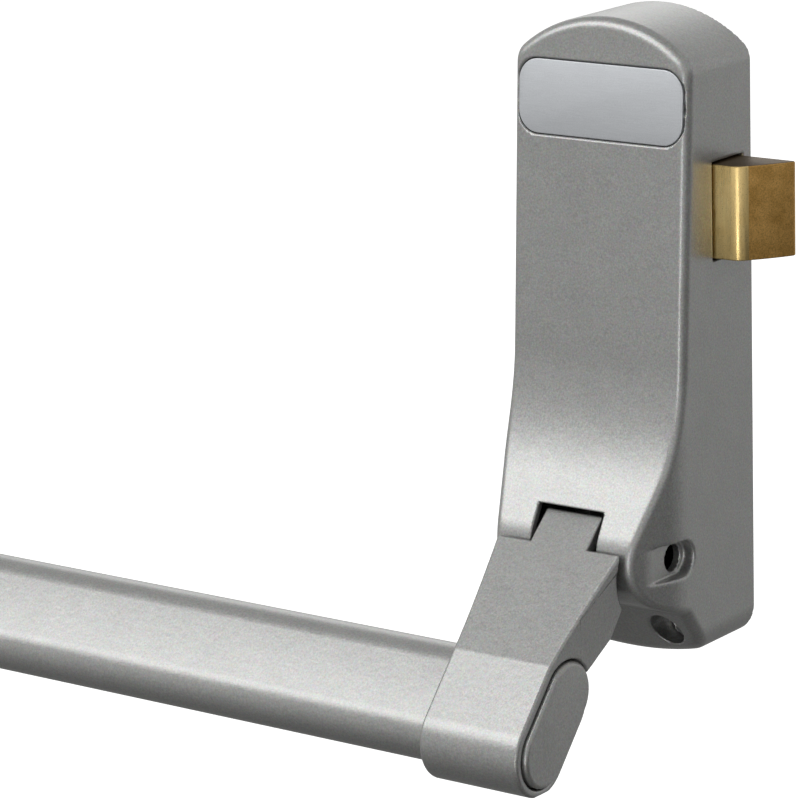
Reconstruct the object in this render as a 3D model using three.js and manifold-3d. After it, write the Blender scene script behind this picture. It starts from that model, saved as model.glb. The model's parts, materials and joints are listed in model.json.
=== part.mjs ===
// Push-bar panic exit device: a latch-side unit, a hinge-side unit and the crossbar between their two arms.
// Millimetres, +Z up. The door face is the plane y = 0, the room is towards -Y, the latch points to +X.
// x = 0 is the latch unit's centre line, and z = 0 is the height of the axis that both arms turn about.
import * as THREE from 'three';
import { mergeVertices } from 'three/addons/utils/BufferGeometryUtils.js';
import Module from 'manifold-3d';

const wasm = await Module();
wasm.setup();

// ---- driving dimensions ----
const GAP = 0.3;                      // clearance between neighbouring pieces
const UNIT_SPACING = 640;             // between the two units' centre lines

const CASE_WIDTH = 68;
const CASE_TOP = 175.7;
const CASE_BOTTOM = -40.5;
const CASE_WALL = 3;
const TOP_ARCH_RADIUS = 50;
const TOP_CORNER_RADIUS = 7;
const BOTTOM_ARCH_RADIUS = 95;
const BOTTOM_CORNER_RADIUS = 10;

const NOSE_Y = -46.2;                 // centre of the nose's round front
const NOSE_Z = 1.5;
const NOSE_RADIUS = 18.3;
const FLARE_ANGLE = radians(29.5);    // slope of the flare where it meets the nose
const FLARE_STRAIGHT = 16;
const FLARE_RADIUS = 90;
const FACE_LEAN = radians(3);         // the front face leans back towards the top
const UNDERSIDE_ANGLE = radians(65);  // where the nose's round front ends below
const UNDERSIDE_EDGE = [-41.5, -20.3];
const UNDERSIDE_FOOT = [-27, -39.2];
const SHOULDER = { start: -45.8, slope: 0.4, blend: 26 };   // the sides lean in towards the nose
const REAR_LIMIT = 60;                // outlines run past the solid this far before they are cut

const PIVOT_Y = -43.2;                // axis of both arms, along X at z = 0
const PIN_RADIUS = 4;
const PIN_HALF_LENGTH = 20.5;
const CHEEK_INNER_X = 13.2;
const CHEEK_OUTER_X = 29.6;
const CHEEK_RADIUS = 11;
const PIN_POCKET_RADIUS = 6;
const NOTCH = { halfWidth: 12.8, top: 16.4, bottom: -24, front: -70, back: -44 };

const FIXING_HOLE_RADIUS = 3;         // for the screws that go into the door
const FIXING_POCKET_RADIUS = 5.9;
const FIXING_POST_RADIUS = 7.9;
const LOWER_FIXING = { x: 21.4, z: -28.2, floor: -22.5 };
const UPPER_FIXING = { x: 18, z: 148.3, floor: -30 };

const PLATE_THICKNESS = 2.5;
const PLATE_INSET = 3.3;
const PLATE_SCREWS = [[25.3, 136], [-25.3, 136], [25.3, 30], [-25.3, 30]];
const PLATE_SCREW_RADIUS = 1.7;
const PLATE_SCREW_LENGTH = 11;
const PLATE_SCREW_HEAD_RADIUS = 3.4;
const PLATE_POST_RADIUS = 4.6;
const CROSS_RECESS = { reach: 2, halfWidth: 0.4, depth: 1.5 };

const BADGE = { width: 63.6, height: 24.6, corner: 7.5, thickness: 1, z: 148.3, recess: 1.6 };

const BOLT = { bottom: 97, height: 31.2, front: -23.4, back: -5.7, heel: 6, tip: 54.5, shoulder: 40.5 };
const BOLT_TAIL = { x0: -10, front: -17.5, back: -12.5, bottom: 107, top: 117.5, slot: 6.4, slotX: -7.2 };
const GUIDE = { x0: 0.5, x1: 30.5, wall: 2.2 };

const LEVER_PIVOT = [-14, 80];        // x and z of the bolt lever's own axis, along Y
const LEVER_LONG_TIP = [-4, 112];
const LEVER_SHORT_TIP = [-3.5, 76.6];
const LEVER_FRONT = -12;
const LEVER_BACK = -9;
const LEVER_HUB_RADIUS = 5;
const LEVER_PEG_RADIUS = 2.2;
const LEVER_PIN_RADIUS = 2;

const SLIDE_HALF_WIDTH = 4;
const SLIDE_FRONT = -24;
const SLIDE_BACK = -20;
const SLIDE_BOTTOM = -0.1;
const SLIDE_TOP = 74;
const SLIDE_COLLAR = [33, 35.5];
const SLIDE_COLLAR_REACH = 6.2;
const SLIDE_FOOT = { front: -31, height: 5 };   // where the arm's finger lifts the slide
const SLIDE_GUIDE_LEVELS = { lower: [20, 27], upper: [56, 63] };

const HUB_RADIUS = 8;
const HUB_HALF_WIDTH = 8;
const HUB_BORE_RADIUS = 5.6;
const FINGER_REACH = 15.5;
const FINGER_RADIUS = 2.4;
const FINGER_ANGLE = radians(-12.5);
const TONGUE_HALF_WIDTH = 11.1;
const TONGUE_REACH = 13.4;            // how far the arm's front face runs on into the notch
const TONGUE_THICKNESS = 6;
const TONGUE_ROOT = [[-63.4, -11], [-52, -7]];
const WEB_FRONT_Y = -53;
const WEB_HALF_HEIGHT = 7;
const COLLAR_RADIUS = 23.5;           // the arm's hollow back hugs the nose at this radius

const ARM_TOP = [-66.5, 5.8];         // front top edge of the arm, as y and z
const ARM_CREASE = [-101.5, -24.8];   // where the front turns parallel to the bar's flat side
const ARM_BACK = [[-77.2, -29.6], [-67.9, -22.9], [-61.9, -12.6]];
const ARM_TOP_HALF_WIDTH = 24.5;
const BOSS_HALF_WIDTH = 19.3;
const ARM_TAPER_LENGTH = 46;
const ARM_TAPER_POWER = 1.3;

const BAR_Y = -98.4;                  // centre of the crossbar's oval
const BAR_Z = -43.5;
const BAR_TILT = radians(47.5);       // turns the oval's flat side to face up and into the room
const BAR_LONG = 41;
const BAR_SHORT = 21.4;
const BAR_WALL = 1.8;
const BAR_END_INSIDE = 12.6;          // how far past the arm's centre line the bar reaches
const BOSS_SHORT = 28.8;
const BOSS_LOWER_REACH = 25.4;        // from the bar's centre to the boss's lower end
const BOSS_UPPER_REACH = 22;
const BOSS_OFFSET = 0.3;
const CAP_LONG = 44;
const CAP_SHORT = 22.4;
const CAP_INNER_X = 13.3;
const CAP_OUTER_X = 20.9;
const CAP_SPIGOT_X = 4;
const GRUB_RADIUS = 2.4;
const GRUB_SOCKET_RADIUS = 1.3;

const COLOURS = {
  coat: 0xa9abaa, badge: 0xb4b8be, brass: 0xa9864a, steel: 0x8f9194, rubber: 0x1c1c1c, bronze: 0x9a7442,
};

// ---- joining and cutting ----
function radians(degrees) {
  return degrees * Math.PI / 180;
}

function solid(geometry) {
  const plain = geometry.clone();
  plain.deleteAttribute('normal');
  plain.deleteAttribute('uv');
  const merged = mergeVertices(plain, 1e-4);
  const mesh = new wasm.Mesh({
    numProp: 3,
    vertProperties: Float32Array.from(merged.attributes.position.array),
    triVerts: Uint32Array.from(merged.index.array),
  });
  return new wasm.Manifold(mesh);
}

function surface(body) {
  const mesh = body.getMesh();
  const geometry = new THREE.BufferGeometry();
  geometry.setAttribute('position', new THREE.BufferAttribute(mesh.vertProperties, 3));
  geometry.setIndex(new THREE.BufferAttribute(mesh.triVerts, 1));
  geometry.computeVertexNormals();
  return geometry;
}

const join = (first, ...rest) => rest.reduce((body, next) => body.add(next), first);
const cut = (first, ...rest) => rest.reduce((body, next) => body.subtract(next), first);
const common = (first, ...rest) => rest.reduce((body, next) => body.intersect(next), first);

// ---- outlines swept along an axis ----
function swept(shape, length, segments, basis, offset) {
  const settings = { depth: length, bevelEnabled: false, curveSegments: segments };
  const geometry = new THREE.ExtrudeGeometry(shape, settings);
  const axes = basis.map((axis) => new THREE.Vector3(...axis));
  geometry.applyMatrix4(new THREE.Matrix4().makeBasis(...axes).setPosition(...offset));
  return geometry;
}

// The outline's own axes are (y, z) for alongX, (x, z) for alongY and (x, y) for alongZ.
function alongX(shape, x0, x1, segments = 4) {
  return swept(shape, x1 - x0, segments, [[0, 1, 0], [0, 0, 1], [1, 0, 0]], [x0, 0, 0]);
}

function alongY(shape, y0, y1, segments = 4) {
  return swept(shape, y1 - y0, segments, [[1, 0, 0], [0, 0, 1], [0, -1, 0]], [0, y1, 0]);
}

function alongZ(shape, z0, z1, segments = 4) {
  return swept(shape, z1 - z0, segments, [[1, 0, 0], [0, 1, 0], [0, 0, 1]], [0, 0, z0]);
}

function box(x0, x1, y0, y1, z0, z1) {
  const geometry = new THREE.BoxGeometry(x1 - x0, y1 - y0, z1 - z0);
  return geometry.translate((x0 + x1) / 2, (y0 + y1) / 2, (z0 + z1) / 2);
}

function polygon(points) {
  return new THREE.Shape(points.map(([a, b]) => new THREE.Vector2(a, b)));
}

function hexagon(radius) {
  const corners = [0, 1, 2, 3, 4, 5].map((k) => k * Math.PI / 3);
  return polygon(corners.map((angle) => [radius * Math.cos(angle), radius * Math.sin(angle)]));
}

function disc(a, b, radius) {
  return new THREE.Shape().absarc(a, b, radius, 0, Math.PI * 2);
}

function roundedRectangle(width, height, corner) {
  const a = width / 2 - corner;
  const b = height / 2 - corner;
  const shape = new THREE.Shape();
  shape.absarc(a, -b, corner, -Math.PI / 2, 0);
  shape.absarc(a, b, corner, 0, Math.PI / 2);
  shape.absarc(-a, b, corner, Math.PI / 2, Math.PI);
  shape.absarc(-a, -b, corner, Math.PI, Math.PI * 1.5);
  return shape;
}

// A flat-sided oval, long along the outline's first axis.
function oval(long, short) {
  const reach = (long - short) / 2;
  return ovalBetween(-reach, reach, short / 2, 0);
}

function ovalBetween(low, high, radius, offset) {
  const shape = new THREE.Shape();
  shape.absarc(high, offset, radius, -Math.PI / 2, Math.PI / 2);
  shape.absarc(low, offset, radius, Math.PI / 2, Math.PI * 1.5);
  return shape;
}

// A ring or a stepped rod turned about an axis parallel to X or Y; the profile is (radius, position) pairs.
function turned(profile, axis, offset, sides = 20) {
  const geometry = new THREE.LatheGeometry(profile.map(([r, h]) => new THREE.Vector2(r, h)), sides);
  if (axis === 'x') geometry.rotateZ(-Math.PI / 2);
  return geometry.translate(...offset);
}

function ring(inner, outer, start, end) {
  return [[inner, start], [outer, start], [outer, end], [inner, end], [inner, start]];
}

// ---- springs ----
class Helix extends THREE.Curve {
  constructor(radius, length, turns) {
    super();
    Object.assign(this, { radius, length, turns });
  }

  getPoint(t) {
    const angle = t * this.turns * Math.PI * 2;
    return new THREE.Vector3(this.radius * Math.cos(angle), this.radius * Math.sin(angle), t * this.length);
  }
}

function coil(radius, wire, length, turns) {
  const path = new Helix(radius, length, turns);
  const steps = Math.round(turns * 12);
  return new THREE.ExtrudeGeometry(hexagon(wire), { steps, bevelEnabled: false, extrudePath: path });
}

// ---- the case that covers each unit ----
// Every outline of the case can be drawn inset by a constant distance, which gives the inside of its wall.
function caseOutline(inset) {
  const half = CASE_WIDTH / 2;
  const topCentre = CASE_TOP - TOP_ARCH_RADIUS;
  const topCornerX = half - TOP_CORNER_RADIUS;
  const topCornerZ = topCentre + Math.sqrt((TOP_ARCH_RADIUS - TOP_CORNER_RADIUS) ** 2 - topCornerX ** 2);
  const bottomCentre = CASE_BOTTOM + BOTTOM_ARCH_RADIUS;
  const bottomCornerX = half - BOTTOM_CORNER_RADIUS;
  const bottomReach = BOTTOM_ARCH_RADIUS - BOTTOM_CORNER_RADIUS;
  const bottomCornerZ = bottomCentre - Math.sqrt(bottomReach ** 2 - bottomCornerX ** 2);
  const topAngle = Math.atan2(topCornerZ - topCentre, topCornerX);
  const bottomAngle = Math.atan2(bottomCornerZ - bottomCentre, bottomCornerX);
  const shape = new THREE.Shape();
  shape.absarc(0, bottomCentre, BOTTOM_ARCH_RADIUS - inset, -Math.PI - bottomAngle, bottomAngle);
  shape.absarc(bottomCornerX, bottomCornerZ, BOTTOM_CORNER_RADIUS - inset, bottomAngle, 0);
  shape.absarc(topCornerX, topCornerZ, TOP_CORNER_RADIUS - inset, 0, topAngle);
  shape.absarc(0, topCentre, TOP_ARCH_RADIUS - inset, topAngle, Math.PI - topAngle);
  shape.absarc(-topCornerX, topCornerZ, TOP_CORNER_RADIUS - inset, Math.PI - topAngle, Math.PI);
  const lastAngle = Math.PI - bottomAngle;
  shape.absarc(-bottomCornerX, bottomCornerZ, BOTTOM_CORNER_RADIUS - inset, Math.PI, lastAngle);
  return shape;
}

function faceArcCentre() {
  const reach = NOSE_RADIUS + FLARE_RADIUS;
  const along = FLARE_STRAIGHT;
  return [
    NOSE_Y - reach * Math.cos(FLARE_ANGLE) + along * Math.sin(FLARE_ANGLE),
    NOSE_Z + reach * Math.sin(FLARE_ANGLE) + along * Math.cos(FLARE_ANGLE),
  ];
}

// Depth of the front face at a height above the flare.
function faceY(z) {
  const [centreY, centreZ] = faceArcCentre();
  const endY = centreY + FLARE_RADIUS * Math.cos(FACE_LEAN);
  const endZ = centreZ - FLARE_RADIUS * Math.sin(FACE_LEAN);
  return endY + (z - endZ) * Math.tan(FACE_LEAN);
}

function sideProfile(inset) {
  const beyond = REAR_LIMIT;
  const [edgeY, edgeZ] = UNDERSIDE_EDGE;
  const slope = new THREE.Vector2(UNDERSIDE_FOOT[0] - edgeY, UNDERSIDE_FOOT[1] - edgeZ).normalize();
  const slopeNormal = new THREE.Vector2(-slope.y, slope.x);
  const noseEnd = new THREE.Vector2(
    NOSE_Y - NOSE_RADIUS * Math.cos(UNDERSIDE_ANGLE),
    NOSE_Z - NOSE_RADIUS * Math.sin(UNDERSIDE_ANGLE),
  );
  const under = noseEnd.clone().sub(new THREE.Vector2(edgeY, edgeZ)).normalize();
  const underNormal = new THREE.Vector2(under.y, -under.x);
  const share = inset / (1 + slopeNormal.dot(underNormal));
  const mitre = slopeNormal.clone().add(underNormal).multiplyScalar(share);
  const edge = new THREE.Vector2(edgeY, edgeZ).add(mitre);
  const foot = edge.clone().addScaledVector(slope, beyond);
  const [centreY, centreZ] = faceArcCentre();
  const shape = new THREE.Shape();
  shape.moveTo(beyond, foot.y);
  shape.lineTo(foot.x, foot.y);
  shape.lineTo(edge.x, edge.y);
  shape.absarc(NOSE_Y, NOSE_Z, NOSE_RADIUS - inset, Math.PI + UNDERSIDE_ANGLE, Math.PI - FLARE_ANGLE, true);
  shape.absarc(centreY, centreZ, FLARE_RADIUS + inset, -FLARE_ANGLE, -FACE_LEAN, false);
  const top = CASE_TOP + beyond;
  shape.lineTo(faceY(top) + inset / Math.cos(FACE_LEAN), top);
  shape.lineTo(beyond, top);
  return shape;
}

// Half-width of the case at a depth: straight to the shoulder's arc, then leaning in towards the nose.
const shoulderTurn = Math.atan(SHOULDER.slope);
const SHOULDER_ARC = {
  start: SHOULDER.start + SHOULDER.blend * Math.tan(shoulderTurn / 2),
  end: SHOULDER.start - SHOULDER.blend * Math.tan(shoulderTurn / 2) * Math.cos(shoulderTurn),
};

function halfWidthAt(y) {
  const { start, slope, blend } = SHOULDER;
  const run = Math.max(0, SHOULDER_ARC.start - y);
  if (y > SHOULDER_ARC.end) return CASE_WIDTH / 2 - blend + Math.sqrt(blend ** 2 - run ** 2);
  return CASE_WIDTH / 2 - slope * (start - y);
}

function planOutline(inset) {
  const steps = 7;
  const depths = [-2 * REAR_LIMIT];
  for (let k = steps; k >= 0; k -= 1) {
    depths.push(SHOULDER_ARC.start + (SHOULDER_ARC.end - SHOULDER_ARC.start) * k / steps);
  }
  depths.push(REAR_LIMIT);
  const right = depths.map((y) => [halfWidthAt(y) - inset, y]);
  const left = right.map(([x, y]) => [-x, y]).reverse();
  return polygon([...right, ...left]);
}

function caseBlank(inset, back) {
  return common(
    solid(alongY(caseOutline(inset), -2 * REAR_LIMIT, back, 5)),
    solid(alongX(sideProfile(inset), -CASE_WIDTH, CASE_WIDTH, 6)),
    solid(alongZ(planOutline(inset), CASE_BOTTOM - REAR_LIMIT, CASE_TOP + REAR_LIMIT)),
  );
}

const badgeFrame = new THREE.Matrix4().makeRotationX(-FACE_LEAN).setPosition(0, faceY(BADGE.z), BADGE.z);

function badgeBlock(extra, front, back) {
  const outline = roundedRectangle(BADGE.width + extra, BADGE.height + extra, BADGE.corner + extra / 2);
  return alongY(outline, front, back, 3).applyMatrix4(badgeFrame);
}

function caseSolid(withBolt) {
  const posts = [LOWER_FIXING, UPPER_FIXING].flatMap(({ x, z, floor }) => [x, -x].map((side) => {
    return solid(alongY(disc(side, z, FIXING_POST_RADIUS), floor - 20, -PLATE_THICKNESS - GAP, 5));
  }));
  const screwPosts = PLATE_SCREWS.map(([x, z]) => {
    return solid(alongY(disc(x, z, PLATE_POST_RADIUS), -60, -PLATE_THICKNESS - GAP, 4));
  });
  const cheeks = [1, -1].map((side) => {
    const [inner, outer] = [CHEEK_INNER_X, CASE_WIDTH / 2].map((x) => x * side).sort((a, b) => a - b);
    return solid(alongX(disc(PIVOT_Y, 0, CHEEK_RADIUS), inner, outer, 10));
  });
  let body = cut(caseBlank(0, 0), cut(caseBlank(CASE_WALL, 1), ...posts, ...screwPosts, ...cheeks));
  const pockets = [LOWER_FIXING, UPPER_FIXING].flatMap(({ x, z, floor }) => [x, -x].flatMap((side) => [
    solid(alongY(disc(side, z, FIXING_POCKET_RADIUS), -60, floor, 8)),
    solid(alongY(disc(side, z, FIXING_HOLE_RADIUS), -60, 1, 5)),
  ]));
  const screwHoles = PLATE_SCREWS.map(([x, z]) => {
    return solid(alongY(disc(x, z, PLATE_SCREW_RADIUS + GAP), -PLATE_SCREW_LENGTH - 2, 1, 4));
  });
  // each counterbore of the pivot pin runs out forwards as a shallow groove
  const pinPockets = [1, -1].map((side) => {
    const [low, high] = [CHEEK_OUTER_X, CASE_WIDTH].map((x) => x * side).sort((a, b) => a - b);
    return solid(alongX(ovalBetween(NOTCH.front, PIVOT_Y, PIN_POCKET_RADIUS, 0), low, high, 9));
  });
  body = cut(
    body,
    ...pockets,
    ...screwHoles,
    ...pinPockets,
    solid(alongX(disc(PIVOT_Y, 0, PIN_RADIUS + GAP), -40, 40, 10)),
    solid(box(-NOTCH.halfWidth, NOTCH.halfWidth, NOTCH.front, NOTCH.back, NOTCH.bottom, NOTCH.top)),
    solid(badgeBlock(2 * GAP, -5, BADGE.recess)),
  );
  if (!withBolt) return body;
  const slot = box(25, 40, BOLT.front - 2 * GAP, BOLT.back + 2 * GAP,
    BOLT.bottom - 2 * GAP, BOLT.bottom + BOLT.height + 2 * GAP);
  return cut(body, solid(slot));
}

function backPlateSolid() {
  const fixings = [LOWER_FIXING, UPPER_FIXING].flatMap(({ x, z }) => [x, -x].map((side) => {
    return solid(alongY(disc(side, z, FIXING_HOLE_RADIUS), -5, 1, 5));
  }));
  const screws = PLATE_SCREWS.flatMap(([x, z]) => {
    const clearance = PLATE_SCREW_RADIUS + GAP;
    const head = PLATE_SCREW_HEAD_RADIUS + GAP;
    const sink = [[0, -5], [clearance, -5], [clearance, clearance - head], [head, 0], [head, 1], [0, 1]];
    return solid(turned(sink, 'y', [x, 0, z], 10));
  });
  return cut(solid(alongY(caseOutline(PLATE_INSET), -PLATE_THICKNESS, 0, 5)), ...fixings, ...screws);
}

function plateScrew([x, z]) {
  const head = PLATE_SCREW_HEAD_RADIUS;
  const shank = PLATE_SCREW_RADIUS;
  const face = -0.2;
  const profile = [[0, -PLATE_SCREW_LENGTH], [shank, -PLATE_SCREW_LENGTH], [shank, face - (head - shank)],
    [head, face], [0, face]];
  const body = solid(turned(profile, 'y', [x, 0, z], 10));
  const { reach, halfWidth, depth } = CROSS_RECESS;
  return surface(cut(
    body,
    solid(box(x - reach, x + reach, -depth, 1, z - halfWidth, z + halfWidth)),
    solid(box(x - halfWidth, x + halfWidth, -depth, 1, z - reach, z + reach)),
  ));
}

// ---- arms, bar and caps ----
const barFrame = new THREE.Matrix4().makeRotationX(BAR_TILT).setPosition(0, BAR_Y, BAR_Z);

function alongBar(shape, x0, x1, segments = 6) {
  return alongX(shape, x0, x1, segments).applyMatrix4(barFrame);
}

// In the bar's own frame +y runs up the oval's long axis, and +z out of its flat front.
function armSolid() {
  const bossLow = -BOSS_LOWER_REACH + BOSS_SHORT / 2;
  const bossHigh = BOSS_UPPER_REACH - BOSS_SHORT / 2;
  const boss = solid(alongBar(ovalBetween(bossLow, bossHigh, BOSS_SHORT / 2, BOSS_OFFSET),
    -BOSS_HALF_WIDTH, BOSS_HALF_WIDTH, 7));
  const start = new THREE.Vector2(0, BOSS_SHORT / 2 + BOSS_OFFSET);
  start.rotateAround(new THREE.Vector2(), BAR_TILT);
  const collarEnd = Math.atan2(ARM_BACK[2][1], ARM_BACK[2][0] - PIVOT_Y);
  const collarStart = Math.atan2(ARM_TOP[1] - 0.4, ARM_TOP[0] - PIVOT_Y);
  const profile = new THREE.Shape();
  profile.moveTo(...ARM_TOP);
  profile.absarc(PIVOT_Y, 0, COLLAR_RADIUS, collarStart, collarEnd + Math.PI * 2, false);
  profile.lineTo(...ARM_BACK[2]);
  profile.lineTo(...ARM_BACK[1]);
  profile.lineTo(...ARM_BACK[0]);
  profile.lineTo(BAR_Y, BAR_Z);
  profile.lineTo(BAR_Y + start.x, BAR_Z + start.y);
  profile.lineTo(...ARM_CREASE);
  const plate = solid(alongX(profile, -30, 30, 6));
  const taper = alongY(armOutline(), -60, 60, 4);
  const lean = Math.atan2(ARM_TOP[0] - ARM_CREASE[0], ARM_TOP[1] - ARM_CREASE[1]);
  taper.applyMatrix4(new THREE.Matrix4().makeRotationX(Math.PI - lean).setPosition(0, ...ARM_TOP));
  return join(common(plate, solid(taper)), boss, tongueSolid());
}

// Half-width of the arm, measured down its front face, as an outline on that face.
function armOutline() {
  const points = [[-BOSS_HALF_WIDTH, 140], [-BOSS_HALF_WIDTH, ARM_TAPER_LENGTH]];
  const steps = 5;
  for (let k = 1; k <= steps; k += 1) {
    const share = k / steps;
    const extra = (ARM_TOP_HALF_WIDTH - BOSS_HALF_WIDTH) * share ** ARM_TAPER_POWER;
    points.push([-BOSS_HALF_WIDTH - extra, ARM_TAPER_LENGTH * (1 - share)]);
  }
  points.push([-ARM_TOP_HALF_WIDTH, -20]);
  const mirrored = points.map(([x, s]) => [-x, s]).reverse();
  return polygon([...points, ...mirrored]);
}

// The tongue carries the arm's front face on into the case's notch, where the hub and the finger join it.
function tongueSolid() {
  const down = new THREE.Vector2(ARM_CREASE[0] - ARM_TOP[0], ARM_CREASE[1] - ARM_TOP[1]).normalize();
  const inward = new THREE.Vector2(-down.y, down.x);
  const front = new THREE.Vector2(...ARM_TOP);
  const tip = front.clone().addScaledVector(down, -TONGUE_REACH);
  const tipBack = tip.clone().addScaledVector(inward, TONGUE_THICKNESS);
  const low = front.clone().addScaledVector(down, TONGUE_THICKNESS).addScaledVector(inward, GAP);
  const tongue = polygon([...TONGUE_ROOT, tipBack.toArray(), tip.toArray(), low.toArray()]);
  const finger = [PIVOT_Y + FINGER_REACH * Math.cos(FINGER_ANGLE), FINGER_REACH * Math.sin(FINGER_ANGLE)];
  const fingerWeb = polygon([
    [PIVOT_Y, FINGER_RADIUS],
    [PIVOT_Y, 1 - WEB_HALF_HEIGHT],
    [finger[0], finger[1] - FINGER_RADIUS],
    [finger[0], finger[1] + FINGER_RADIUS],
  ]);
  const web = box(-HUB_HALF_WIDTH, HUB_HALF_WIDTH, WEB_FRONT_Y, PIVOT_Y, -WEB_HALF_HEIGHT, WEB_HALF_HEIGHT);
  return join(
    solid(alongX(tongue, -TONGUE_HALF_WIDTH, TONGUE_HALF_WIDTH, 4)),
    solid(web),
    solid(alongX(disc(PIVOT_Y, 0, HUB_RADIUS), -HUB_HALF_WIDTH, HUB_HALF_WIDTH, 10)),
    solid(alongX(fingerWeb, -SLIDE_HALF_WIDTH, SLIDE_HALF_WIDTH)),
    solid(alongX(disc(...finger, FINGER_RADIUS), -SLIDE_HALF_WIDTH, SLIDE_HALF_WIDTH, 5)),
  );
}

function finishedArm() {
  const grub = grubAxis();
  return cut(
    armSolid(),
    solid(alongX(disc(PIVOT_Y, 0, HUB_BORE_RADIUS), -30, 30, 10)),
    solid(alongBar(oval(BAR_LONG + 2 * GAP, BAR_SHORT + 2 * GAP), -30, CAP_INNER_X)),
    solid(alongBar(oval(CAP_LONG + 4 * GAP, CAP_SHORT + 4 * GAP), CAP_INNER_X - GAP, 30)),
    solid(grub(disc(0, 0, GRUB_RADIUS + GAP), -20, -BAR_SHORT / 2, 6)),
  );
}

// The clamp screw lies along the bar's own z axis, at the arm's centre line, behind the bar.
function grubAxis() {
  return (shape, low, high, segments) => alongZ(shape, low, high, segments).applyMatrix4(barFrame);
}

function grubScrew() {
  const place = grubAxis();
  const [low, high] = [-BOSS_SHORT / 2 + 0.6, -BAR_SHORT / 2 - GAP];
  const socketDepth = 1.6;
  const body = solid(place(disc(0, 0, GRUB_RADIUS), low, high, 6));
  return surface(cut(body, solid(place(hexagon(GRUB_SOCKET_RADIUS), low - 1, low + socketDepth, 1))));
}

function endCap() {
  const edge = 1.2;
  const wall = BAR_WALL + 2 * GAP;
  return surface(join(
    solid(alongBar(oval(CAP_LONG, CAP_SHORT), CAP_INNER_X, CAP_OUTER_X - edge)),
    solid(alongBar(oval(CAP_LONG - edge, CAP_SHORT - edge), CAP_INNER_X, CAP_OUTER_X)),
    solid(alongBar(oval(BAR_LONG - 2 * wall, BAR_SHORT - 2 * wall), CAP_SPIGOT_X, CAP_INNER_X + 1)),
  ));
}

function crossbar() {
  const outline = oval(BAR_LONG, BAR_SHORT);
  outline.holes.push(oval(BAR_LONG - 2 * BAR_WALL, BAR_SHORT - 2 * BAR_WALL));
  return alongBar(outline, -UNIT_SPACING - BAR_END_INSIDE, BAR_END_INSIDE, 7);
}

// ---- pivot hardware ----
function pivotPin() {
  const chamfer = 0.6;
  const end = PIN_HALF_LENGTH;
  const profile = [
    [0, -end], [PIN_RADIUS - chamfer, -end], [PIN_RADIUS, chamfer - end],
    [PIN_RADIUS, end - chamfer], [PIN_RADIUS - chamfer, end], [0, end],
  ];
  return turned(profile, 'x', [0, PIVOT_Y, 0], 20);
}

function bush(side) {
  const inner = PIN_RADIUS + GAP;
  const outer = HUB_BORE_RADIUS - GAP;
  const flange = HUB_RADIUS - 0.8;
  const face = HUB_HALF_WIDTH + GAP;
  const profile = [
    [inner, 1], [outer, 1], [outer, face], [flange, face],
    [flange, face + 0.8], [inner, face + 0.8], [inner, 1],
  ];
  const geometry = turned(profile, 'x', [0, 0, 0], 20);
  if (side < 0) geometry.rotateZ(Math.PI);
  return geometry.translate(0, PIVOT_Y, 0);
}

function armSpring() {
  const wire = 0.6;
  const start = HUB_HALF_WIDTH + GAP + 0.8 + GAP + wire;
  const geometry = coil(PIN_RADIUS + 1.8, wire, CHEEK_INNER_X - GAP - wire - start, 2.1);
  return geometry.rotateY(Math.PI / 2).translate(start, PIVOT_Y, 0);
}

const stopZ = FINGER_REACH * Math.sin(FINGER_ANGLE) - FINGER_RADIUS - GAP;
const STOP_SLEEVE_RADIUS = 3.2;
const STOP_POST_RADIUS = 1.8;
const STOP_POST_FRONT = -33.5;
const STOP_SLEEVE_SPAN = [-33, -24];

function stopPost() {
  const front = STOP_POST_FRONT;
  const back = -PLATE_THICKNESS - GAP;
  const profile = [[0, front], [STOP_POST_RADIUS, front], [STOP_POST_RADIUS, back], [0, back]];
  return turned(profile, 'y', [0, 0, stopZ - STOP_SLEEVE_RADIUS], 14);
}

function stopSleeve() {
  const profile = ring(STOP_POST_RADIUS + GAP, STOP_SLEEVE_RADIUS, STOP_SLEEVE_SPAN[0], STOP_SLEEVE_SPAN[1]);
  return turned(profile, 'y', [0, 0, stopZ - STOP_SLEEVE_RADIUS], 16);
}

// ---- the bolt and what draws it back ----
function latchBolt() {
  const { bottom, height, front, back, heel, tip, shoulder } = BOLT;
  const plan = new THREE.Shape();
  plan.moveTo(heel, back);
  plan.lineTo(heel, front);
  plan.lineTo(shoulder, front);
  plan.quadraticCurveTo(shoulder + 3, front, shoulder + 5, front + 3);
  plan.quadraticCurveTo(shoulder + 10.5, front + 9.6, tip, back - 1.6);
  plan.lineTo(tip, back);
  const tail = BOLT_TAIL;
  const body = join(
    solid(alongZ(plan, bottom, bottom + height, 4)),
    solid(box(tail.x0, heel + 1, tail.front, tail.back, tail.bottom, tail.top)),
  );
  const slot = [tail.slotX, tail.slotX + tail.slot, tail.front - 1, tail.back + 1];
  return surface(cut(body, solid(box(...slot, tail.bottom - 1, tail.top - 1.2))));
}

function boltGuide() {
  const { x0, x1, wall } = GUIDE;
  const slack = 2 * GAP;
  const [front, back] = [BOLT.front - slack, BOLT.back + slack];
  const [low, high] = [BOLT.bottom - slack, BOLT.bottom + BOLT.height + slack];
  const block = box(x0, x1, front - wall, -PLATE_THICKNESS - GAP, low - wall, high + wall);
  return surface(cut(solid(block), solid(box(x0 - 1, x1 + 1, front, back, low, high))));
}

function linkOutline(from, to, radiusFrom, radiusTo) {
  const angle = Math.atan2(to[1] - from[1], to[0] - from[0]);
  const shape = new THREE.Shape();
  shape.absarc(to[0], to[1], radiusTo, angle - Math.PI / 2, angle + Math.PI / 2);
  shape.absarc(from[0], from[1], radiusFrom, angle + Math.PI / 2, angle + Math.PI * 1.5);
  return shape;
}

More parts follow.
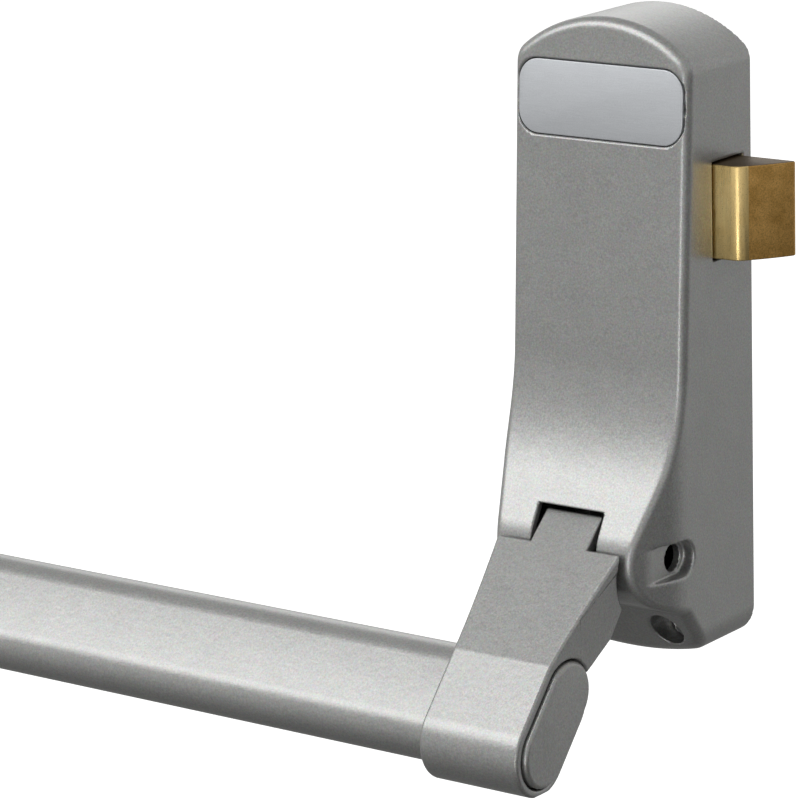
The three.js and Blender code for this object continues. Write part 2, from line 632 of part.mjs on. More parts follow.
function boltLever() {
  const pegFront = [BOLT_TAIL.front, SLIDE_FRONT + 0.5];
  const longLink = linkOutline(LEVER_PIVOT, LEVER_LONG_TIP, LEVER_HUB_RADIUS, 3.5);
  const shortLink = linkOutline(LEVER_PIVOT, LEVER_SHORT_TIP, LEVER_HUB_RADIUS, 3.2);
  const body = join(
    solid(alongY(longLink, LEVER_FRONT, LEVER_BACK, 4)),
    solid(alongY(shortLink, LEVER_FRONT, LEVER_BACK, 4)),
    solid(alongY(disc(...LEVER_PIVOT, LEVER_HUB_RADIUS - 0.6), LEVER_FRONT, -PLATE_THICKNESS - 2 * GAP, 7)),
    solid(alongY(disc(...LEVER_LONG_TIP, LEVER_PEG_RADIUS), pegFront[0], LEVER_BACK - 1, 5)),
    solid(alongY(disc(...LEVER_SHORT_TIP, LEVER_PEG_RADIUS), pegFront[1], LEVER_BACK - 1, 5)),
  );
  return surface(cut(body, solid(alongY(disc(...LEVER_PIVOT, LEVER_PIN_RADIUS + GAP), -40, 5, 7))));
}

function leverPin() {
  const [x, z] = LEVER_PIVOT;
  const front = LEVER_FRONT - 1.8;
  const back = -PLATE_THICKNESS - GAP;
  const profile = [[0, front], [LEVER_PIN_RADIUS, front], [LEVER_PIN_RADIUS, back], [0, back]];
  return turned(profile, 'y', [x, 0, z], 14);
}

function leverClip() {
  const [x, z] = LEVER_PIVOT;
  return turned(ring(LEVER_PIN_RADIUS + GAP, 4.4, LEVER_FRONT - 1.3, LEVER_FRONT - GAP), 'y', [x, 0, z], 14);
}

function leverSpring() {
  const [x, z] = LEVER_PIVOT;
  const wire = 0.55;
  const front = LEVER_BACK + GAP + wire;
  const length = -PLATE_THICKNESS - GAP - wire - front;
  return coil(LEVER_HUB_RADIUS + 0.9, wire, length, 3).rotateX(-Math.PI / 2).translate(x, front, z);
}

function liftSlide() {
  const half = SLIDE_HALF_WIDTH;
  const collar = SLIDE_COLLAR;
  const reach = SLIDE_COLLAR_REACH;
  const centre = (SLIDE_FRONT + SLIDE_BACK) / 2;
  return surface(join(
    solid(box(-half, half, SLIDE_FRONT, SLIDE_BACK, SLIDE_BOTTOM, SLIDE_TOP)),
    solid(box(-half, half, SLIDE_FOOT.front, SLIDE_BACK, SLIDE_BOTTOM, SLIDE_BOTTOM + SLIDE_FOOT.height)),
    solid(box(-reach, reach, centre - reach, centre + reach, collar[0], collar[1])),
  ));
}

function slideGuide([low, high]) {
  const half = SLIDE_HALF_WIDTH + 4;
  const slack = 0.4;
  const block = box(-half, half, SLIDE_FRONT - 3, -PLATE_THICKNESS - GAP, low, high);
  const slotHalf = SLIDE_HALF_WIDTH + slack;
  const slot = box(-slotHalf, slotHalf, SLIDE_FRONT - slack, SLIDE_BACK + slack, low - 1, high + 1);
  return surface(cut(solid(block), solid(slot)));
}

function slideSpring() {
  const wire = 0.6;
  const low = SLIDE_COLLAR[1] + GAP + wire;
  const length = SLIDE_GUIDE_LEVELS.upper[0] - GAP - wire - low;
  return coil(5.7, wire, length, 5).translate(0, (SLIDE_FRONT + SLIDE_BACK) / 2, low);
}

// ---- assembly ----
const materials = {
  coat: new THREE.MeshStandardMaterial({ color: COLOURS.coat, roughness: 0.42, metalness: 0.35 }),
  badge: new THREE.MeshStandardMaterial({ color: COLOURS.badge, roughness: 0.5, metalness: 0.6 }),
  brass: new THREE.MeshStandardMaterial({ color: COLOURS.brass, roughness: 0.32, metalness: 0.9 }),
  steel: new THREE.MeshStandardMaterial({ color: COLOURS.steel, roughness: 0.35, metalness: 0.9 }),
  rubber: new THREE.MeshStandardMaterial({ color: COLOURS.rubber, roughness: 0.85, metalness: 0 }),
  bronze: new THREE.MeshStandardMaterial({ color: COLOURS.bronze, roughness: 0.45, metalness: 0.8 }),
};

function mirrored(geometry) {
  const flipped = geometry.index ? geometry.clone() : mergeVertices(geometry.clone());
  flipped.applyMatrix4(new THREE.Matrix4().makeScale(-1, 1, 1));
  const index = flipped.index.array;
  for (let k = 0; k < index.length; k += 3) {
    [index[k], index[k + 1]] = [index[k + 1], index[k]];
  }
  return flipped;
}

const group = new THREE.Group();

function add(parent, name, geometry, material) {
  const mesh = new THREE.Mesh(geometry, materials[material]);
  mesh.name = name;
  parent.add(mesh);
}

// The pieces that both units share. The hinge side's are the latch side's, mirrored.
function addUnit(unit, prefix, mirror) {
  const shape = (geometry) => (mirror ? mirrored(geometry) : geometry);
  add(unit, `${prefix}_case`, shape(surface(caseSolid(!mirror))), 'coat');
  add(unit, `${prefix}_back_plate`, shape(surface(backPlateSolid())), 'steel');
  add(unit, `${prefix}_badge`, shape(badgeBlock(0, GAP, GAP + BADGE.thickness)), 'badge');
  PLATE_SCREWS.forEach((place, k) => {
    add(unit, `${prefix}_plate_screw_${k + 1}`, shape(plateScrew(place)), 'steel');
  });
  add(unit, `${prefix}_arm`, shape(surface(finishedArm())), 'coat');
  add(unit, `${prefix}_end_cap`, shape(endCap()), 'coat');
  add(unit, `${prefix}_grub_screw`, shape(grubScrew()), 'steel');
  add(unit, `${prefix}_pivot_pin`, shape(pivotPin()), 'steel');
  add(unit, `${prefix}_inner_bush`, shape(bush(-1)), 'bronze');
  add(unit, `${prefix}_outer_bush`, shape(bush(1)), 'bronze');
  add(unit, `${prefix}_arm_spring`, shape(armSpring()), 'steel');
  add(unit, `${prefix}_stop_post`, shape(stopPost()), 'steel');
  add(unit, `${prefix}_stop_sleeve`, shape(stopSleeve()), 'rubber');
}

const latchUnit = new THREE.Group();
addUnit(latchUnit, 'latch', false);
add(latchUnit, 'latch_bolt', latchBolt(), 'brass');
add(latchUnit, 'bolt_guide', boltGuide(), 'steel');
add(latchUnit, 'bolt_lever', boltLever(), 'steel');
add(latchUnit, 'lever_pin', leverPin(), 'steel');
add(latchUnit, 'lever_clip', leverClip(), 'steel');
add(latchUnit, 'lever_spring', leverSpring(), 'steel');
add(latchUnit, 'lift_slide', liftSlide(), 'steel');
add(latchUnit, 'lower_slide_guide', slideGuide(SLIDE_GUIDE_LEVELS.lower), 'steel');
add(latchUnit, 'upper_slide_guide', slideGuide(SLIDE_GUIDE_LEVELS.upper), 'steel');
add(latchUnit, 'slide_spring', slideSpring(), 'steel');
group.add(latchUnit);

const hingeUnit = new THREE.Group();
addUnit(hingeUnit, 'hinge', true);
hingeUnit.position.x = -UNIT_SPACING;
group.add(hingeUnit);

add(group, 'crossbar', crossbar(), 'coat');

export default group;
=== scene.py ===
"""Looks of the push-bar panic exit device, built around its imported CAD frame.

The case and the arm are solids of signed distance: a point's value is how far it lies outside the surface,
and every edge gets its fillet where two such distances meet. Lengths are millimetres until a mesh is made.
"""
import json
import math

import bpy
import numpy as np
from mathutils import Matrix, Vector


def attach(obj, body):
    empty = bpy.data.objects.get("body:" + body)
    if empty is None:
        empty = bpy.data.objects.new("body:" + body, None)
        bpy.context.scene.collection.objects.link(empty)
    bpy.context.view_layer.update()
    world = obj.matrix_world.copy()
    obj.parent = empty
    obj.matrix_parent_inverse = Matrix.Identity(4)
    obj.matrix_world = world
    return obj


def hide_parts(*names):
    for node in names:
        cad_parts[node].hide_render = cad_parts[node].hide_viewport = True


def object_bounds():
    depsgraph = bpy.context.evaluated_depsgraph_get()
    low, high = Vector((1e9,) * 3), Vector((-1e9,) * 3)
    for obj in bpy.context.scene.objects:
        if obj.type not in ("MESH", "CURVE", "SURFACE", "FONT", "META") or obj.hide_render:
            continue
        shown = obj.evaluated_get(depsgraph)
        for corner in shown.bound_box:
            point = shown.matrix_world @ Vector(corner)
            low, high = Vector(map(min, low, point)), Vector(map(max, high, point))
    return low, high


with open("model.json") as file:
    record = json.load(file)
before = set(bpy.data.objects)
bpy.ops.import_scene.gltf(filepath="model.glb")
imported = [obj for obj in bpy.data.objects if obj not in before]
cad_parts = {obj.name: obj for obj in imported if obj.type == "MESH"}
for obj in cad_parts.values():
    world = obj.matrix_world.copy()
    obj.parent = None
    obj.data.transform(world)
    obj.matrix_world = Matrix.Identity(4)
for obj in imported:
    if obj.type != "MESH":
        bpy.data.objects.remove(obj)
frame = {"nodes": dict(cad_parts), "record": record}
cad_low, cad_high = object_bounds()

MM = 0.001
SPACING = 640.0

# ---- dimensions of the object ----
HALF = 34.0
CASE_TOP, CASE_BOTTOM = 175.7, -40.5
CASE_WALL = 3.0
TOP_ARCH, TOP_CORNER = 50.0, 7.0
BOTTOM_ARCH, BOTTOM_CORNER = 95.0, 10.0
CASE_FILLET = 3.6
NOSE = (-46.2, 1.5)
NOSE_R = 18.3
FLARE = math.radians(29.5)
FLARE_STRAIGHT = 16.0
FLARE_R = 90.0
LEAN = math.radians(3.0)
UNDER_EDGE = (-41.5, -20.3)
UNDER_FOOT = (-27.0, -39.2)
SHOULDER_Y, SHOULDER_SLOPE, SHOULDER_BLEND = -45.8, 0.4, 26.0
PIVOT_Y = -43.2
CHEEK_X, CHEEK_R = 13.2, 11.0
PIN_POCKET_X, PIN_POCKET_R, PIN_HOLE_R = 29.3, 6.1, 4.6
NOTCH_HALF, NOTCH_TOP, NOTCH_LOW, NOTCH_BACK = 12.8, 16.4, -24.0, -44.0
FIX_HOLE_R, FIX_POCKET_R, FIX_POST_R = 3.0, 5.9, 7.9
FIXINGS = ((21.4, -28.2, -22.5), (18.0, 148.3, -30.0))
BADGE_W, BADGE_H, BADGE_CORNER, BADGE_Z, BADGE_RECESS = 63.6, 24.6, 7.5, 148.3, 1.6
BOLT_LOW, BOLT_HIGH, BOLT_FRONT, BOLT_BACK, BOLT_TIP = 97.0, 128.2, -23.4, -5.7, 54.5
BOLT_HEEL, BOLT_SHOULDER = 6.0, 40.5
BOLT_PLAY, MOUTH_START = 0.6, 25.0
TAIL_LOW, TAIL_HIGH = (-10.0, -17.5, 107.0), (6.5, -12.5, 117.5)
TAIL_SLOT = (-7.2, -0.8, 116.3)

ARM_TOP = (-66.5, 5.8)
ARM_CREASE = (-101.5, -24.8)
ARM_BACK = ((-61.9, -12.6), (-67.9, -22.9), (-77.2, -29.6), (-98.4, -43.5))
ARM_TOP_HALF, BOSS_HALF = 24.5, 19.3
ARM_TAPER_LENGTH, ARM_TAPER_POWER = 46.0, 1.3
COLLAR_R = 23.5
TONGUE_HALF, TONGUE_REACH = 11.1, 13.4
BAR_Y, BAR_Z = -98.4, -43.5
BAR_TILT = math.radians(47.5)
BAR_LONG, BAR_SHORT, BAR_WALL = 41.0, 21.4, 1.8
BOSS_SHORT, BOSS_LOW, BOSS_HIGH, BOSS_OUT = 28.8, 25.4, 22.0, 0.3
CAP_LONG, CAP_SHORT, CAP_IN, CAP_OUT = 44.0, 22.4, 13.3, 20.9
BAR_PLAY, CAP_PLAY, GRUB_HOLE_R = 0.3, 0.6, 2.7
HUB_R, HUB_HALF, HUB_BORE = 8.0, 8.0, 5.6
WEB_HALF, WEB_FRONT = 7.0, -53.0
FINGER_ANGLE, FINGER_LENGTH, FINGER_R, FINGER_HALF = math.radians(-12.5), 15.5, 2.4, 4.0


# ---- signed distances ----
def both(a, b, r, c=0.0):
    """The part inside a and b, with a fillet of radius r; c is the cosine between their normals."""
    u, v = a + r, b + r
    on_fillet = (u > c * v) & (v > c * u)
    squared = (u * u + v * v - 2 * c * u * v) / (1 - c * c)
    return np.where(on_fillet, np.sqrt(np.maximum(squared, 0)) - r, np.maximum(a, b))


def either(a, b, r, c=0.0):
    return -both(-a, -b, r, c)


def without(a, b, r):
    return both(a, -b, r)


def half_plane(u, v, through, normal):
    length = math.hypot(*normal)
    return ((u - through[0]) * normal[0] + (v - through[1]) * normal[1]) / length


def disc(u, v, centre, radius):
    return np.hypot(u - centre[0], v - centre[1]) - radius


def slab(u, low, high):
    return np.maximum(low - u, u - high)


def block(u, v, half_u, half_v, corner):
    a, b = np.abs(u) - half_u + corner, np.abs(v) - half_v + corner
    return np.hypot(np.maximum(a, 0), np.maximum(b, 0)) + np.minimum(np.maximum(a, b), 0) - corner


def stadium(u, v, low, high, radius, offset=0.0):
    """A flat-sided oval whose round ends are centred at low and high on the u axis."""
    return np.hypot(u - np.clip(u, low, high), v - offset) - radius


# ---- the case ----
FACE_CENTRE = (NOSE[0] - (NOSE_R + FLARE_R) * math.cos(FLARE) + FLARE_STRAIGHT * math.sin(FLARE),
               NOSE[1] + (NOSE_R + FLARE_R) * math.sin(FLARE) + FLARE_STRAIGHT * math.cos(FLARE))


def face_y(z):
    """Depth of the front face at a height above the flare."""
    end_y = FACE_CENTRE[0] + FLARE_R * math.cos(LEAN)
    end_z = FACE_CENTRE[1] - FLARE_R * math.sin(LEAN)
    return end_y + (z - end_z) * math.tan(LEAN)


def front_profile(y, z):
    """Underside, nose, flare and leaning face as one curve with a hollow corner below the nose."""
    to_edge = (UNDER_EDGE[0] - NOSE[0], UNDER_EDGE[1] - NOSE[1])
    reach = math.hypot(*to_edge)
    under = math.atan2(to_edge[1], to_edge[0]) - math.acos(NOSE_R / reach)
    nose = disc(y, z, NOSE, NOSE_R)
    below = half_plane(y, z, UNDER_EDGE, (math.cos(under), math.sin(under)))
    slope_normal = (UNDER_FOOT[1] - UNDER_EDGE[1], UNDER_EDGE[0] - UNDER_FOOT[0])
    below = either(below, half_plane(y, z, UNDER_EDGE, slope_normal), 1.2, 0.868)
    turn = (y - NOSE[0]) * -math.sin(under) + (z - NOSE[1]) * math.cos(under)
    lower = np.where(turn > 0, below, nose)
    flare_normal = (-math.cos(FLARE), math.sin(FLARE))
    on_nose = (NOSE[0] + NOSE_R * flare_normal[0], NOSE[1] + NOSE_R * flare_normal[1])
    straight = half_plane(y, z, on_nose, flare_normal)
    along = (y - NOSE[0]) * math.sin(FLARE) + (z - NOSE[1]) * math.cos(FLARE)
    lower = np.where(along > 0, straight, lower)
    from_centre = np.hypot(y - FACE_CENTRE[0], z - FACE_CENTRE[1])
    angle = np.arctan2(z - FACE_CENTRE[1], y - FACE_CENTRE[0])
    face = half_plane(y, z, (face_y(BADGE_Z), BADGE_Z), (-math.cos(LEAN), math.sin(LEAN)))
    upper = np.where(angle > -LEAN, face, FLARE_R - from_centre)
    return np.where((along > FLARE_STRAIGHT) & (angle > -FLARE), upper, lower)


def case_blank(x, y, z, inset=0.0):
    """The case's outer form, or the form that lies a wall's thickness inside it."""
    side_x = np.abs(x)
    steep = math.hypot(1, SHOULDER_SLOPE)
    leaning = (side_x - HALF + (SHOULDER_Y - y) * SHOULDER_SLOPE) / steep
    side = both(side_x - HALF, leaning, SHOULDER_BLEND, 1 / steep)
    top = np.hypot(x, np.maximum(z - CASE_TOP + TOP_ARCH, 0)) - TOP_ARCH
    bottom = np.hypot(x, np.minimum(z - CASE_BOTTOM - BOTTOM_ARCH, 0)) - BOTTOM_ARCH
    top_turn = (HALF - TOP_CORNER) / (TOP_ARCH - TOP_CORNER)
    bottom_turn = (HALF - BOTTOM_CORNER) / (BOTTOM_ARCH - BOTTOM_CORNER)
    form = both(both(side, top, TOP_CORNER, top_turn), bottom, BOTTOM_CORNER, bottom_turn)
    lean_in = SHOULDER_SLOPE / steep * np.clip((SHOULDER_Y + 5 - y) / 10, 0, 1)
    return both(form, front_profile(y, z), CASE_FILLET, lean_in) + inset


def case_field(with_bolt):
    def field(x, y, z):
        side_x = np.abs(x)
        cavity = np.maximum(case_blank(x, y, z, CASE_WALL), slab(z, CASE_BOTTOM, CASE_TOP))
        for px, pz, _ in FIXINGS:
            cavity = np.maximum(cavity, -disc(side_x, z, (px, pz), FIX_POST_R))
        cheek = np.maximum(disc(y, z, (PIVOT_Y, 0), CHEEK_R), CHEEK_X - side_x)
        cavity = np.maximum(cavity, -cheek)
        body = without(np.maximum(case_blank(x, y, z), y), cavity, 0.2)
        notch = both(slab(x, -NOTCH_HALF, NOTCH_HALF),
                     np.maximum(slab(z, NOTCH_LOW, NOTCH_TOP), y - NOTCH_BACK), 0.5)
        body = without(body, notch, 0.7)
        for px, pz, floor in FIXINGS:
            pocket = np.maximum(disc(side_x, z, (px, pz), FIX_POCKET_R), y - floor)
            body = without(body, pocket, 0.8)
            body = without(body, disc(side_x, z, (px, pz), FIX_HOLE_R), 0.2)
        # the pivot pin's counterbore runs out forwards as a groove
        groove = stadium(y, z, PIVOT_Y - 30, PIVOT_Y, PIN_POCKET_R)
        body = without(body, both(groove, PIN_POCKET_X - side_x, 0.9), 0.9)
        body = without(body, disc(y, z, (PIVOT_Y, 0), PIN_HOLE_R), 0.35)
        up = (z - BADGE_Z) * math.cos(LEAN) + (y - face_y(BADGE_Z)) * math.sin(LEAN)
        deep = (y - face_y(BADGE_Z)) * math.cos(LEAN) - (z - BADGE_Z) * math.sin(LEAN)
        recess = block(x, up, BADGE_W / 2 + 0.3, BADGE_H / 2 + 0.3, BADGE_CORNER + 0.3)
        body = without(body, np.maximum(recess, deep - BADGE_RECESS), 0.6)
        if with_bolt:
            mouth = np.maximum(slab(y, BOLT_FRONT - BOLT_PLAY, BOLT_BACK + BOLT_PLAY),
                               slab(z, BOLT_LOW - BOLT_PLAY, BOLT_HIGH + BOLT_PLAY))
            body = without(body, np.maximum(mouth, MOUTH_START - x), 0.5)
        return body
    return field


# ---- the arm ----
def in_bar(y, z):
    """A point in the crossbar's own section: along the oval, and out of its flat front."""
    c, s = math.cos(BAR_TILT), math.sin(BAR_TILT)
    return (y - BAR_Y) * c + (z - BAR_Z) * s, (z - BAR_Z) * c - (y - BAR_Y) * s


def arm_field(x, y, z):
    side_x = np.abs(x)
    length = math.dist(ARM_TOP, ARM_CREASE)
    down = ((ARM_CREASE[0] - ARM_TOP[0]) / length, (ARM_CREASE[1] - ARM_TOP[1]) / length)
    out = (down[1], -down[0])
    run = (y - ARM_TOP[0]) * down[0] + (z - ARM_TOP[1]) * down[1]
    front = (y - ARM_TOP[0]) * out[0] + (z - ARM_TOP[1]) * out[1]
    along, proud = in_bar(y, z)
    flat = proud - BOSS_SHORT / 2 - BOSS_OUT
    plate = both(both(front, flat, 6.0, 0.994), -run, 0.3)
    for (y0, z0), (y1, z1) in zip(ARM_BACK, ARM_BACK[1:]):
        plate = np.maximum(plate, half_plane(y, z, (y0, z0), (z0 - z1, y1 - y0)))
    plate = np.maximum(plate, -4 - along)
    plate = both(plate, COLLAR_R - np.hypot(y - PIVOT_Y, z), 0.3)
    share = np.clip(1 - run / ARM_TAPER_LENGTH, 0, 1)
    half = BOSS_HALF + (ARM_TOP_HALF - BOSS_HALF) * share ** ARM_TAPER_POWER
    # a shallow flat on each side stops short of the front edge and of the boss
    flat_edge = np.minimum(-front - 4.3 + run * 0.13, (29.0 - run) * 0.83 - front * 0.5 - 3.0)
    half = half - 0.32 * np.clip(flat_edge / 0.5 + 0.5, 0, 1)
    plate = both(plate, (side_x - half) * 0.99, 1.3)
    radius = BOSS_SHORT / 2
    boss = stadium(along, proud, radius - BOSS_LOW, BOSS_HIGH - radius, radius, BOSS_OUT)
    boss = both(boss, side_x - BOSS_HALF, 1.3)
    body = np.minimum(plate, boss)
    tongue = both(front, -TONGUE_REACH - run, 0.6)
    tongue = np.maximum(tongue, half_plane(y, z, (-52.0, -7.0), (21.9, -2.0)))
    tongue = np.maximum(tongue, half_plane(y, z, (-63.4, -11.0), (4.0, -11.4)))
    tongue = both(tongue, side_x - TONGUE_HALF, 0.6)
    body = np.minimum(body, np.maximum(tongue, run - 6))
    hub = np.maximum(disc(y, z, (PIVOT_Y, 0), HUB_R), side_x - HUB_HALF)
    web = np.maximum(slab(z, -WEB_HALF, WEB_HALF), slab(y, WEB_FRONT, PIVOT_Y))
    web = np.maximum(web, side_x - HUB_HALF)
    body = either(body, np.minimum(hub, web), 0.5)
    tip = (FINGER_LENGTH * math.cos(FINGER_ANGLE), FINGER_LENGTH * math.sin(FINGER_ANGLE))
    t = np.clip(((y - PIVOT_Y) * tip[0] + z * tip[1]) / FINGER_LENGTH ** 2, 0, 1)
    finger = np.hypot(y - PIVOT_Y - t * tip[0], z - t * tip[1]) - FINGER_R
    body = either(body, np.maximum(finger, side_x - FINGER_HALF), 0.4)
    body = without(body, disc(y, z, (PIVOT_Y, 0), HUB_BORE), 0.2)
    reach = (BAR_LONG - BAR_SHORT) / 2
    tube_bore = stadium(along, proud, -reach, reach, BAR_SHORT / 2 + BAR_PLAY)
    body = without(body, np.maximum(tube_bore, x - CAP_IN), 0.35)
    reach = (CAP_LONG - CAP_SHORT) / 2
    cap_bore = stadium(along, proud, -reach, reach, CAP_SHORT / 2 + CAP_PLAY)
    body = without(body, np.maximum(cap_bore, CAP_IN - BAR_PLAY - x), 0.7)
    return without(body, np.maximum(np.hypot(x, along) - GRUB_HOLE_R, proud), 0.2)


# ---- distances to meshes ----
def surface_net(field, low, high, step):
    """Quads on the zero level of field: one corner in every grid cell that the surface crosses."""
    axes = [np.arange(a, b + step, step) for a, b in zip(low, high)]
    x, y, z = axes[0][:, None, None], axes[1][None, :, None], axes[2][None, None, :]
    value = field(x, y, z) + np.zeros((len(axes[0]), len(axes[1]), len(axes[2])))
    cells = tuple(n - 1 for n in value.shape)
    total, count = np.zeros((*cells, 3), np.float32), np.zeros(cells, np.float32)
    crossings = []
    for axis in range(3):
        u, v = (axis + 1) % 3, (axis + 2) % 3
        first = np.take(value, range(value.shape[axis] - 1), axis)
        second = np.take(value, range(1, value.shape[axis]), axis)
        crossing = (first < 0) != (second < 0)
        part = np.where(crossing, first / np.where(crossing, first - second, 1), 0)
        crossings.append((crossing, first < 0))
        for du in (0, 1):
            for dv in (0, 1):
                window = [slice(None)] * 3
                window[u], window[v] = slice(du, du + cells[u]), slice(dv, dv + cells[v])
                hit = crossing[tuple(window)]
                count += hit
                total[..., axis] += part[tuple(window)]
                total[..., u] += hit * du
                total[..., v] += hit * dv
    active = count > 0
    number = np.full(cells, -1, np.int64)
    number[active] = np.arange(active.sum())
    corner = np.stack(np.nonzero(active), -1) + total[active] / count[active][:, None]
    points = corner * step + np.array(low)
    quads = []
    for axis in range(3):
        u, v = (axis + 1) % 3, (axis + 2) % 3
        crossing, inward = crossings[axis]
        at = np.stack(np.nonzero(crossing), -1)
        at = at[(at[:, u] > 0) & (at[:, v] > 0) & (at[:, u] < cells[u]) & (at[:, v] < cells[v])]
        ring = []
        for du, dv in ((1, 1), (0, 1), (0, 0), (1, 0)):
            cell = at.copy()
            cell[:, u] -= du
            cell[:, v] -= dv
            ring.append(number[tuple(cell.T)])
        ring = np.stack(ring, -1)
        flip = ~inward[tuple(at.T)]
        ring[flip] = ring[flip][:, ::-1]
        quads.append(ring)
    return points, np.concatenate(quads)


def slope_of(field, p, h=0.04):
    g = np.empty_like(p)
    for axis in range(3):
        d = np.zeros(3)
        d[axis] = h
        g[:, axis] = (field(*(p + d).T) - field(*(p - d).T)) / (2 * h)
    return g


def settle(field, p, rounds=4, most=0.5):
    """Moves points along the field's slope onto its surface."""
    for _ in range(rounds):
        g = slope_of(field, p)
        value = field(*p.T)
        move = (value / np.maximum((g ** 2).sum(1), 0.2))[:, None] * g
        far = np.linalg.norm(move, axis=1, keepdims=True)
        p = p - move * np.minimum(1, most / np.maximum(far, 1e-9))
    return p


def make_mesh(name, points, faces):
    mesh = bpy.data.meshes.new(name)
    mesh.from_pydata((np.asarray(points) * MM).tolist(), [], np.asarray(faces).tolist()
                     if isinstance(faces, np.ndarray) else faces)
    mesh.validate()
    obj = bpy.data.objects.new(name, mesh)
    bpy.context.scene.collection.objects.link(obj)
    return obj


def carve(name, field, low, high, step, keep):
    """A finished solid: net, settle, thin the flats, settle again, shade by the field's own slope."""
    points, quads = surface_net(field, low, high, step)
    points = settle(field, points, most=step / 2)
    obj = make_mesh(name, points, quads)
    thin = obj.modifiers.new("thin", "DECIMATE")
    thin.ratio = keep
    evaluated = obj.evaluated_get(bpy.context.evaluated_depsgraph_get())
    mesh = bpy.data.meshes.new_from_object(evaluated)
    obj.modifiers.clear()
    obj.data = mesh
    count = len(mesh.vertices)
    p = np.empty(count * 3)
    mesh.vertices.foreach_get("co", p)
    p = settle(field, p.reshape(-1, 3) / MM, rounds=2, most=step / 4)
    mesh.vertices.foreach_set("co", (p * MM).ravel())
    g = slope_of(field, p)
    g /= np.maximum(np.linalg.norm(g, axis=1, keepdims=True), 1e-9)
    mesh.polygons.foreach_set("use_smooth", [True] * len(mesh.polygons))
    mesh.update()
    mesh.normals_split_custom_set_from_vertices(g.tolist())
    return obj


def loft(name, rings, closed=False, caps=True, smooth_angle=math.radians(40)):
    """Skins rings of equal length, and closes the two ends or joins the last ring to the first."""
    count = len(rings[0])
    points = np.concatenate(rings)
    faces = []
    for k in range(len(rings) if closed else len(rings) - 1):
        a, b = k * count, ((k + 1) % len(rings)) * count
        for i in range(count):
            j = (i + 1) % count
            faces.append((a + i, a + j, b + j, b + i))
    if caps and not closed:
        faces.append(tuple(reversed(range(count))))
        last = (len(rings) - 1) * count
        faces.append(tuple(last + i for i in range(count)))
    obj = make_mesh(name, points, faces)
    obj.data.polygons.foreach_set("use_smooth", [True] * len(obj.data.polygons))
    obj.data.set_sharp_from_angle(angle=smooth_angle)
    return obj


def inset_ring(outline, inset):
    """The closed outline moved inward by inset; it runs counter-clockwise."""
    ahead = np.roll(outline, -1, 0) - outline
    ahead /= np.linalg.norm(ahead, axis=1, keepdims=True)
    behind = np.roll(ahead, 1, 0)
    normal_a = np.stack([-ahead[:, 1], ahead[:, 0]], 1)
    normal_b = np.stack([-behind[:, 1], behind[:, 0]], 1)
    mitre = normal_a + normal_b
    mitre /= np.maximum((mitre * normal_a).sum(1), 0.5)[:, None]
    return outline + mitre * inset


def oval_ring(long, short, steps=20):
    reach, r = (long - short) / 2, short / 2
    half = np.linspace(-math.pi / 2, math.pi / 2, steps)
    right = np.stack([reach + r * np.cos(half), r * np.sin(half)], 1)
    return np.concatenate([right, -right])


def rounded_ring(width, height, corner, steps=10):
    ring = []
    for k, (sx, sy) in enumerate(((1, -1), (1, 1), (-1, 1), (-1, -1))):
        angle = np.linspace(0, math.pi / 2, steps) + (k - 1) * math.pi / 2
        ring.append(np.stack([sx * (width / 2 - corner) + corner * np.cos(angle),
                              sy * (height / 2 - corner) + corner * np.sin(angle)], 1))
    return np.concatenate(ring)


def rounded_edge(radius, steps=5):
    """(inset, drop) pairs round an outer edge, from the flat top to the wall."""
    angle = np.linspace(0, math.pi / 2, steps)
    return [(radius * (1 - math.sin(a)), radius * (1 - math.cos(a))) for a in angle]


def place_bar(ring, x):
    """Section points of the crossbar's frame, set at x along it."""
    c, s = math.cos(BAR_TILT), math.sin(BAR_TILT)
    a, b = ring[:, 0], ring[:, 1]
    return np.stack([np.full(len(ring), float(x)), BAR_Y + a * c - b * s, BAR_Z + a * s + b * c], 1)


def end_cap(name):
    face, spigot = oval_ring(CAP_LONG, CAP_SHORT), oval_ring(BAR_LONG - 4.8, BAR_SHORT - 4.8)
    rings = [place_bar(spigot, 4.0), place_bar(spigot, CAP_IN), place_bar(inset_ring(face, 0.2), CAP_IN)]
    rings.append(place_bar(face, CAP_IN + 0.2))
    for inset, drop in reversed(rounded_edge(1.5, 8)):
        rings.append(place_bar(inset_ring(face, inset), CAP_OUT - drop))
    return loft(name, rings)


def crossbar(name):
    outer = oval_ring(BAR_LONG, BAR_SHORT, 28)
    inner = oval_ring(BAR_LONG - 2 * BAR_WALL, BAR_SHORT - 2 * BAR_WALL, 28)
    ends = (-SPACING - 12.6, 12.6)
    stations = np.linspace(ends[0], ends[1], 9)
    rings = [place_bar(outer, x) for x in stations]
    rings += [place_bar(inner, x) for x in stations[::-1]]
    return loft(name, rings, closed=True)


def badge(name):
    ring = rounded_ring(BADGE_W, BADGE_H, BADGE_CORNER)
    levels = [(0.0, 1.3)] + [(inset, 0.3 + drop) for inset, drop in reversed(rounded_edge(0.3, 4))]
    rings = []
    for inset, deep in levels:
        flat = inset_ring(ring, inset)
        y = face_y(BADGE_Z) + deep * math.cos(LEAN) + flat[:, 1] * math.sin(LEAN)
        z = BADGE_Z - deep * math.sin(LEAN) + flat[:, 1] * math.cos(LEAN)
        rings.append(np.stack([flat[:, 0], y, z], 1))
    return loft(name, rings)


